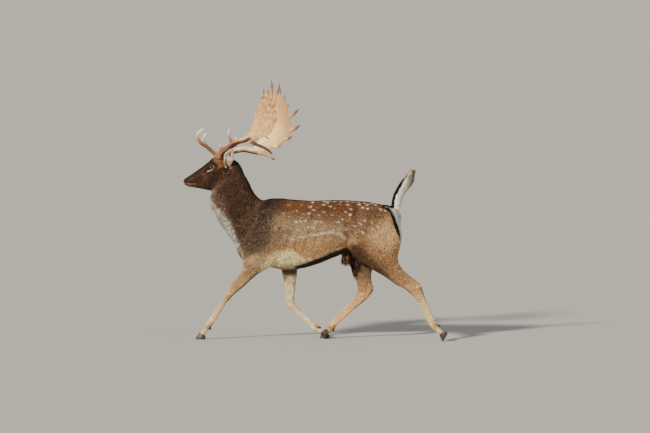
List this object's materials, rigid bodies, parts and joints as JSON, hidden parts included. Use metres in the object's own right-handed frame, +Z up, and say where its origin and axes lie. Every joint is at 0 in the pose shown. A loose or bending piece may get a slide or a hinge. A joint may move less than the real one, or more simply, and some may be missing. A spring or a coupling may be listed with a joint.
{
  "type": "fallow deer",
  "caption": "Still, life-size fallow buck in a trot, with palmed antlers, a raised tail, parted limbs and level hooves that stand on a floor.",
  "frame": {"origin": "on the floor, under the middle of the part's box", "axes": "-Y the way the buck looks and trots, +X its left side, +Z up"},
  "size_m": [0.5404, 1.741, 1.6947],
  "materials": {
    "coat": "short lying fur, brown over tan, with pale spots",
    "coat_head": "short dense fur, nearly black brown",
    "coat_leg": "very short smooth fur, tan",
    "coat_tail": "long soft hair, black in front and white behind",
    "antler": "dry ridged bone, worn pale at the tips",
    "hoof": "dark horn with faint growth rings",
    "eye": "wet dark brown"
  },
  "bodies": {
    "root": {"leg_fore_left": "coat", "cannon_fore_left": "coat_leg", "hoof_fore_left_inner": "hoof", "dewclaw_fore_left_inner": "hoof", "hoof_fore_left_outer": "hoof", "dewclaw_fore_left_outer": "hoof", "foot_fore_left": "coat_leg", "leg_fore_right": "coat", "cannon_fore_right": "coat_leg", "hoof_fore_right_outer": "hoof", "dewclaw_fore_right_outer": "hoof", "hoof_fore_right_inner": "hoof", "dewclaw_fore_right_inner": "hoof", "foot_fore_right": "coat_leg", "leg_hind_left": "coat", "cannon_hind_left": "coat_leg", "hoof_hind_left_inner": "hoof", "dewclaw_hind_left_inner": "hoof", "hoof_hind_left_outer": "hoof", "dewclaw_hind_left_outer": "hoof", "foot_hind_left": "coat_leg", "leg_hind_right": "coat", "cannon_hind_right": "coat_leg", "hoof_hind_right_outer": "hoof", "dewclaw_hind_right_outer": "hoof", "hoof_hind_right_inner": "hoof", "dewclaw_hind_right_inner": "hoof", "foot_hind_right": "coat_leg", "head": "coat_head", "neck": "coat_head", "trunk": "coat", "eye_left": "eye", "eye_right": "eye", "tail": "coat_tail", "ear_left": "coat_head", "ear_right": "coat_head", "antler_left_palm": "antler", "antler_left_beam": "antler", "antler_left_brow_tine": "antler", "antler_left_trez_tine": "antler", "antler_left_back_tine": "antler", "antler_right_palm": "antler", "antler_right_beam": "antler", "antler_right_brow_tine": "antler", "antler_right_trez_tine": "antler", "antler_right_back_tine": "antler"}
  },
  "joints": []
}
